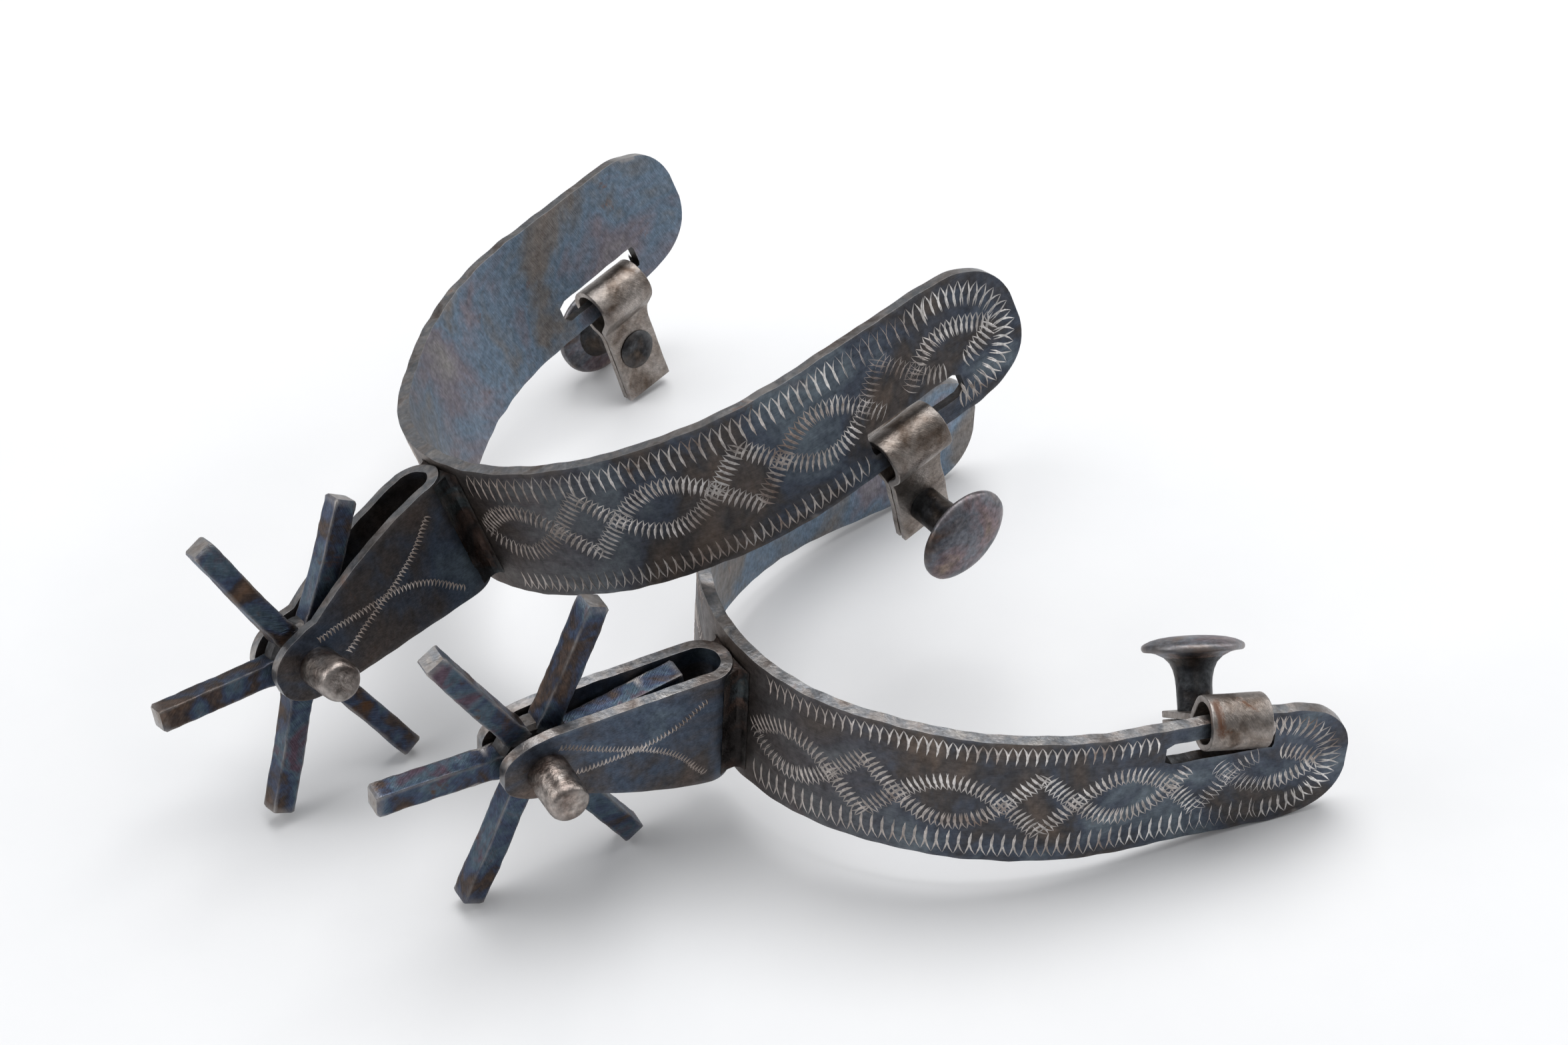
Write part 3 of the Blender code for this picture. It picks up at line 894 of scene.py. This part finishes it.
def engrave_cheek(shape, side, shift, flip, seed):
    """Two thin crossing curves on one cheek's outer face."""
    outer = shift + side * SHANK_HALF

    def surface(behind, height, lift):
        depth = dent(-side * behind, height, seed)
        return Vector((-behind - SHANK_GAP, outer + side * (lift - depth), height))

    for k, curve in enumerate(CHEEK_CURVES):
        trail = []
        for behind in spread(curve[0][0], curve[-1][0], 0.6):
            share = min((behind - SHANK_HALF) / CHEEK_STRAIGHT, 1.0)
            low = smooth_three(SHANK_LOW, share)
            top = smooth_three(SHANK_TOP, share)
            across = smooth_through(curve, behind)
            if flip:
                across = 1.0 - across
            trail.append((behind, low + across * (top - low)))
        wriggle(shape, surface, trail, CHEEK_ZIGZAG, seed + k)


def smooth_through(knots, at):
    """Value between knots with rounded turns, from a short running mean."""
    first, last = knots[0][0], knots[-1][0]
    nearby = [min(max(at + shift, first), last) for shift in (-2.0, -1.0, 0.0, 1.0, 2.0)]
    return sum(value_at(knots, place) for place in nearby) / len(nearby)


# --- materials ---


def start_material(name, metallic, roughness):
    """New node material with its Principled shader's uniform values set."""
    material = bpy.data.materials.new(name)
    material.use_nodes = True
    tree = material.node_tree
    shader = tree.nodes["Principled BSDF"]
    shader.inputs["Metallic"].default_value = metallic
    shader.inputs["Roughness"].default_value = roughness
    return material, tree, shader


def plug(tree, socket, value):
    """Links a socket to another one, or sets its plain value."""
    if isinstance(value, bpy.types.NodeSocket):
        tree.links.new(value, socket)
    else:
        socket.default_value = value


def add_node(tree, kind, inputs):
    """New node with its inputs, by name or number, set or linked."""
    node = tree.nodes.new("ShaderNode" + kind)
    for key, value in inputs.items():
        plug(tree, node.inputs[key], value)
    return node


def flow_map(tree):
    """Coordinates along and across a bent strap, in millimetres."""
    source = tree.nodes.new("ShaderNodeUVMap")
    source.uv_map = "flow"
    return source.outputs["UV"]


def place_map(tree, scale=(1.0, 1.0, 1.0), turn=0.0, flow=False):
    """Object coordinates, or the flow map along a bent strap, turned and then scaled."""
    inputs = {"Scale": [1.0 / s for s in scale], "Rotation": (0.0, 0.0, math.radians(turn))}
    mapping = add_node(tree, "Mapping", inputs)
    mapping.vector_type = "TEXTURE"
    source = flow_map(tree) if flow else tree.nodes.new("ShaderNodeTexCoord").outputs["Object"]
    plug(tree, mapping.inputs["Vector"], source)
    return mapping.outputs["Vector"]


def noise_map(tree, vector, scale, detail=4.0, rough=0.55, swirl=0.0):
    """Factor of a noise texture."""
    inputs = {"Vector": vector, "Scale": scale, "Detail": detail, "Roughness": rough, "Distortion": swirl}
    return add_node(tree, "TexNoise", inputs).outputs["Fac"]


def heel_map(tree, reach):
    """1 at the heel, falling to 0 at a distance in millimetres along the band."""
    parts = add_node(tree, "SeparateXYZ", {"Vector": flow_map(tree)})
    away = add_node(tree, "Math", {0: parts.outputs["X"]})
    away.operation = "ABSOLUTE"
    inputs = {"Value": away.outputs["Value"], "From Max": reach, "To Min": 1.0, "To Max": 0.0}
    return add_node(tree, "MapRange", inputs).outputs["Result"]


def ramp(tree, factor, stops):
    """Colour ramp; each stop is (place, colour) with three or one values in the colour."""
    gradient = tree.nodes.new("ShaderNodeValToRGB")
    elements = gradient.color_ramp.elements
    while len(elements) < len(stops):
        elements.new(0.5)
    for element, (place, colour) in zip(elements, stops):
        element.position = place
        colour = (colour,) * 3 if isinstance(colour, float) else colour
        element.color = (*colour, 1.0)
    tree.links.new(factor, gradient.inputs["Fac"])
    return gradient.outputs["Color"]


def mix(tree, factor, first, second, kind="MIX"):
    """Blend of two colours or links by a factor or link."""
    node = tree.nodes.new("ShaderNodeMix")
    node.data_type = "RGBA"
    node.blend_type = kind
    for socket, value in ((node.inputs[0], factor), (node.inputs[6], first), (node.inputs[7], second)):
        if isinstance(value, tuple):
            value = (*value, 1.0)
        plug(tree, socket, value)
    return node.outputs[2]


def bump(tree, height, strength, distance, below=None):
    """Surface relief from a height link, on top of another relief if given."""
    inputs = {"Strength": strength, "Distance": distance, "Height": height}
    if below:
        inputs["Normal"] = below
    return add_node(tree, "Bump", inputs).outputs["Normal"]


def steel(
    name, palette, rust=0.62, rust_colour=(0.16, 0.065, 0.03), grain=(120.0, 2600.0, 2600.0),
    grain_turn=0.0, flow=False, rough=(0.34, 0.6), patch=52.0, grain_depth=0.35,
    pits=0.3, wear=0.75, heel=None,
):
    """Heat-coloured or bare steel: broad colour patches, fine mottling, rust, grain and pits.

    rust is the noise level above which it rusts, patch the scale of the colour patches, and heel
    the colour that the heat left round the brazed heel, with how far it reaches.
    """
    material, tree, shader = start_material(name, 1.0, 0.45)
    plain = place_map(tree)
    broad = noise_map(tree, plain, patch, 5.0, 0.58, 0.5)
    colour = ramp(tree, broad, palette)
    if heel:
        colour = mix(tree, heel_map(tree, heel[1]), colour, heel[0])
    fine = noise_map(tree, plain, 900.0, 5.0, 0.65)
    colour = mix(tree, 0.75, colour, ramp(tree, fine, ((0.3, 0.55), (0.7, 1.35))), "MULTIPLY")
    lines = noise_map(tree, place_map(tree, grain, grain_turn, flow), 1.0, 4.0, 0.6)
    colour = mix(tree, 0.6, colour, ramp(tree, lines, ((0.3, 0.6), (0.72, 1.35))), "MULTIPLY")
    spots = noise_map(tree, plain, 130.0, 8.0, 0.68, 0.6)
    rusty = ramp(tree, spots, ((rust, 0.0), (rust + 0.1, 0.85)))
    colour = mix(tree, rusty, colour, rust_colour)
    corners = tree.nodes.new("ShaderNodeNewGeometry").outputs["Pointiness"]
    rubbed = ramp(tree, corners, ((0.515, 0.0), (0.58, wear)))
    rubbed = mix(tree, 1.0, rubbed, ramp(tree, spots, ((0.38, 0.25), (0.55, 1.0))), "MULTIPLY")
    colour = mix(tree, rubbed, colour, (0.40, 0.375, 0.36))
    tree.links.new(colour, shader.inputs["Base Color"])
    shine = ramp(tree, noise_map(tree, plain, 210.0, 5.0, 0.6), ((0.3, rough[0]), (0.7, rough[1])))
    shine = mix(tree, rusty, shine, (0.8, 0.8, 0.8))
    tree.links.new(shine, shader.inputs["Roughness"])
    pitted = noise_map(tree, plain, 1500.0, 3.0, 0.6)
    relief = bump(tree, lines, grain_depth, 0.00012)
    relief = bump(tree, pitted, pits, 0.00015, relief)
    relief = bump(tree, spots, 0.25, 0.0003, relief)
    tree.links.new(relief, shader.inputs["Normal"])
    return material


def make_materials():
    """Every finish, by name."""
    navy = (0.084, 0.098, 0.128)
    teal = (0.16, 0.195, 0.225)
    dark = (0.08, 0.075, 0.076)
    plum = (0.135, 0.11, 0.124)
    brown = (0.16, 0.126, 0.105)
    return {
        "engraved": steel(
            "blued_band_outside",
            ((0.32, brown), (0.44, dark), (0.52, navy), (0.62, teal), (0.72, plum)),
            rust=0.66, rust_colour=(0.12, 0.07, 0.045), grain=(0.25, 14.0, 1.0), flow=True,
            grain_depth=0.5, wear=0.5, heel=((0.128, 0.104, 0.09), 44.0),
        ),
        "inner": steel(
            "blued_band_inside",
            ((0.28, (0.24, 0.19, 0.155)), (0.42, (0.2, 0.19, 0.185)), (0.5, (0.165, 0.225, 0.295)),
             (0.57, (0.21, 0.195, 0.225)), (0.68, (0.3, 0.285, 0.27))),
            rust=0.63, rust_colour=(0.26, 0.125, 0.06), grain=(6.0, 0.5, 1.0), grain_turn=14.0,
            flow=True, patch=34.0, heel=((0.235, 0.222, 0.215), 40.0),
        ),
        "edge": steel(
            "filed_steel_edge",
            ((0.34, (0.13, 0.1, 0.085)), (0.45, (0.28, 0.26, 0.25)), (0.55, (0.17, 0.185, 0.205)),
             (0.68, (0.38, 0.36, 0.34))),
            grain=(1500.0, 1500.0, 500.0), rough=(0.28, 0.5), patch=170.0,
        ),
        "cheek": steel(
            "blued_shank",
            ((0.28, (0.14, 0.106, 0.088)), (0.42, (0.088, 0.079, 0.078)), (0.52, (0.08, 0.102, 0.142)),
             (0.63, (0.13, 0.168, 0.2)), (0.76, (0.125, 0.102, 0.12))),
            rust=0.64, rust_colour=(0.14, 0.08, 0.05), grain=(1.6, 5.0, 1.0), flow=True, patch=44.0,
        ),
        "bar": steel(
            "filed_bar",
            ((0.3, (0.14, 0.09, 0.064)), (0.42, (0.07, 0.056, 0.053)), (0.5, (0.062, 0.08, 0.13)),
             (0.57, (0.09, 0.13, 0.165)), (0.66, (0.105, 0.072, 0.095))),
            rust=0.6, rust_colour=(0.15, 0.08, 0.042), grain=(0.5, 4.0, 1.0),
            grain_turn=42.0, flow=True, rough=(0.36, 0.6), patch=120.0, grain_depth=1.4, wear=1.0,
        ),
        "bar_end": steel(
            "ground_bar_end",
            ((0.35, (0.2, 0.16, 0.13)), (0.5, (0.36, 0.34, 0.33)), (0.65, (0.27, 0.29, 0.32))),
            rust=0.64, grain=(900.0, 2400.0, 900.0), patch=260.0, grain_depth=0.7,
        ),
        "pin": steel(
            "worn_pin",
            ((0.35, (0.13, 0.095, 0.08)), (0.5, (0.28, 0.235, 0.21)), (0.65, (0.36, 0.325, 0.3))),
            grain=(900.0, 900.0, 900.0), rough=(0.28, 0.5), patch=200.0, pits=0.6,
        ),
        "strap": steel(
            "bare_strap",
            ((0.35, (0.12, 0.09, 0.072)), (0.48, (0.25, 0.215, 0.19)), (0.64, (0.35, 0.315, 0.29))),
            grain=(0.9, 6.0, 1.0), grain_turn=38.0, flow=True, rough=(0.28, 0.55),
            patch=150.0, pits=0.5,
        ),
        "button": steel(
            "coloured_button",
            ((0.3, (0.24, 0.145, 0.1)), (0.42, (0.145, 0.12, 0.115)), (0.51, (0.15, 0.16, 0.185)),
             (0.6, (0.185, 0.14, 0.15)), (0.7, (0.26, 0.2, 0.165))),
            rust=0.63, rust_colour=(0.2, 0.1, 0.06), grain=(900.0, 900.0, 900.0), patch=95.0, pits=0.45,
        ),
        # dark steel for the buttons' stems and the rowel's hub, also put on the slot walls (mark 3) as
        # painted shade inside the slots
        "stem": steel(
            "dark_steel_and_painted_slot_shade",
            ((0.35, (0.07, 0.055, 0.045)), (0.5, (0.045, 0.045, 0.048)), (0.65, (0.09, 0.095, 0.1))),
            rust=0.66, grain=(900.0, 900.0, 900.0), patch=150.0, pits=0.5, wear=0.12,
        ),
        # brazing metal with orange rust spots of its own; its near-black colours are painted shade in the
        # crease between band and nose
        "braze": steel(
            "braze_and_painted_crease_shade",
            ((0.38, (0.032, 0.028, 0.027)), (0.47, (0.066, 0.044, 0.036)), (0.53, (0.038, 0.037, 0.038)),
             (0.6, (0.055, 0.066, 0.07)), (0.68, (0.085, 0.07, 0.062))),
            rust=0.64, rust_colour=(0.2, 0.085, 0.04), grain=(1300.0, 1300.0, 160.0), rough=(0.4, 0.7),
            patch=110.0, pits=1.0, wear=0.15,
        ),
        "cuts": steel(
            "bright_engraving",
            ((0.34, (0.26, 0.2, 0.17)), (0.46, (0.52, 0.48, 0.455)), (0.6, (0.8, 0.775, 0.755))),
            rust_colour=(0.2, 0.135, 0.1), grain=(1400.0, 1400.0, 1400.0), rough=(0.28, 0.5),
            patch=62.0, wear=0.0, heel=((0.36, 0.3, 0.265), 50.0),
        ),
    }


# --- pieces ---


def spur_pose(spur):
    """Resting pose of a spur, in metres."""
    turn = Euler([math.radians(a) for a in spur["turn"]], "XYZ").to_matrix().to_4x4()
    return Matrix.Translation(Vector(spur["place"]) * MM) @ turn


def add_piece(name, shape, spur, body, materials, bevel=0.0):
    """Puts a finished shape in place, riding on a body."""
    mesh = bpy.data.meshes.new(name)
    pose = spur_pose(spur)
    mesh.from_pydata([pose @ (point * MM) for point in shape["points"]], [], shape["faces"])
    for material in materials:
        mesh.materials.append(material)
    mesh.polygons.foreach_set("material_index", shape["marks"])
    layer = mesh.uv_layers.new(name="flow")
    for loop in mesh.loops:
        layer.data[loop.index].uv = shape["flow"][loop.vertex_index]
    bm = bmesh.new()
    bm.from_mesh(mesh)
    loose = [v for v in bm.verts if not v.link_faces]
    bmesh.ops.delete(bm, geom=loose, context="VERTS")
    bmesh.ops.recalc_face_normals(bm, faces=bm.faces)
    bm.to_mesh(mesh)
    bm.free()
    mesh.shade_smooth()
    mesh.set_sharp_from_angle(angle=math.radians(SHARP_ANGLE))
    piece = bpy.data.objects.new(name, mesh)
    bpy.context.scene.collection.objects.link(piece)
    if bevel:
        rounding = piece.modifiers.new("rounding", "BEVEL")
        rounding.width = bevel * MM
        rounding.segments = 2
        rounding.limit_method = "ANGLE"
        rounding.angle_limit = math.radians(BEVEL_ANGLE)
        rounding.harden_normals = True
    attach(piece, body)
    return piece


def add_spur(name, spur, finish):
    """Every piece of one spur."""
    path = arm_path(spur["turns"])
    near = spur["near"]
    height = spur["pin_height"]
    shift = near * SHANK_SHIFT
    seed = spur["seed"]
    shank_seed = seed + 60.0
    body = name + "_spur"
    sides = (("near", near), ("far", -near))
    left, right = ("near", "far") if near > 0 else ("far", "near")
    arms = spur["arms"]

    straps = []
    rubbed = {}
    for label, side in sides:
        along, _, _, half_width = spur["hangers"][label][:4]
        straps += [side * (along - half_width), side * (along + half_width)]
        rubbed[label] = (along - half_width - RUBBED_MARGIN, along + half_width + RUBBED_MARGIN)
    band = heel_band(path, arms[left], arms[right], straps, seed)
    # the slot walls (mark 3) get the dark finish: painted shade inside the slots
    faces = (finish["engraved"], finish["inner"], finish["edge"], finish["stem"])
    piece = add_piece(name + "_band_piece", band, spur, body, faces, STEEL_BEVEL)
    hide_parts(name + "_heel_band")

    cuts = new_shape()
    for label, side in sides:
        engrave_arm(cuts, path, side, arms[label], rubbed[label], seed)
        engrave_cheek(cuts, side, shift, near < 0, shank_seed)
    add_piece(name + "_engraving", cuts, spur, body, (finish["cuts"],))

    hairpin = shank(shift, shank_seed)
    faces = (finish["cheek"], finish["cheek"], finish["edge"])
    piece = add_piece(name + "_shank_piece", hairpin, spur, body, faces, STEEL_BEVEL)
    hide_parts(name + "_shank")

    pin = rowel_pin(near, height, seed + 5.0)
    piece = add_piece(name + "_pin_piece", pin, spur, body, (finish["pin"],))
    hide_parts(name + "_rowel_pin")

    wheel = rowel(spur["spokes"], height, near * ROWEL_SHIFT, seed + 11.0)
    faces = (finish["bar"], finish["bar_end"], finish["stem"])
    piece = add_piece(name + "_rowel_piece", wheel, spur, name + "_rowel", faces)
    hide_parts(name + "_rowel")

    for label, side in sides:
        add_side(name, spur, label, side, path, shift, finish)


def add_side(name, spur, label, side, path, shift, finish):
    """Brazing, hanger and button of one side."""
    seed = spur["seed"] + (17.0 if label == "far" else 0.0)
    metal = braze(path, side, shift, seed)
    title = f"{name}_{label}"
    piece = add_piece(title + "_braze_piece", metal, spur, name + "_spur", (finish["braze"],))
    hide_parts(title + "_braze")
    along, swing, crooked, half_width, length, stem_at, stem_long = spur["hangers"][label]
    frame = hanger_frame(path, side, spur["arms"][label], along, swing, crooked)
    body = title + "_hanger"
    if title in STRAP_BEYOND_STEM:
        length = stem_at + STRAP_BEYOND_STEM[title]
    strap = hanger(frame, half_width, length, seed)
    faces = (finish["strap"], finish["strap"])
    piece = add_piece(title + "_strap_piece", strap, spur, body, faces, STRAP_BEVEL)
    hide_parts(title + "_hanger")
    stud = hanger_button(frame, stem_at, stem_long, seed)
    faces = (finish["button"], finish["stem"])
    piece = add_piece(title + "_button_piece", stud, spur, body, faces)
    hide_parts(title + "_button")


# --- stage ---


def add_floor():
    """Wide pale floor with a faint unevenness."""
    mesh = bpy.data.meshes.new("floor")
    ways = ((-1.0, -1.0), (1.0, -1.0), (1.0, 1.0), (-1.0, 1.0))
    corners = [(FLOOR_REACH * x, FLOOR_REACH * y, 0.0) for x, y in ways]
    mesh.from_pydata(corners, [], [(0, 1, 2, 3)])
    floor = bpy.data.objects.new("floor", mesh)
    bpy.context.scene.collection.objects.link(floor)
    material, tree, shader = start_material("pale_floor", 0.0, 0.7)
    marks = noise_map(tree, place_map(tree), 14.0, 6.0, 0.6)
    colour = ramp(tree, marks, ((0.3, (0.80, 0.805, 0.815)), (0.7, (0.84, 0.84, 0.845))))
    tree.links.new(colour, shader.inputs["Base Color"])
    mesh.materials.append(material)


def add_light(name, place, aim, size, power):
    """Large soft square light aimed at a point."""
    light = bpy.data.lights.new(name, "AREA")
    light.size = size
    light.energy = power
    lamp = bpy.data.objects.new(name, light)
    lamp.location = place
    way = Vector(aim) - Vector(place)
    lamp.rotation_euler = way.to_track_quat("-Z", "Y").to_euler()
    bpy.context.scene.collection.objects.link(lamp)


def add_stage():
    """Floor, lights, surroundings and camera."""
    add_floor()
    for name, place, aim, size, power in LIGHTS:
        add_light(name, place, aim, size, power)
    scene = bpy.context.scene
    world = bpy.data.worlds.new("surroundings")
    world.use_nodes = True
    background = world.node_tree.nodes["Background"]
    background.inputs["Color"].default_value = WORLD_COLOUR
    background.inputs["Strength"].default_value = WORLD_STRENGTH
    scene.world = world
    scene.view_settings.view_transform = "Standard"
    camera = bpy.data.cameras.new("camera")
    camera.lens = CAMERA_LENS
    camera.sensor_width = 36.0
    eye = bpy.data.objects.new("camera", camera)
    eye.location = CAMERA_AT
    eye.rotation_euler = [math.radians(a) for a in CAMERA_TURN]
    scene.collection.objects.link(eye)
    scene.camera = eye


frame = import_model()
finishes = make_materials()
for spur_name, spur_facts in SPURS.items():
    add_spur(spur_name, spur_facts, finishes)
add_stage()
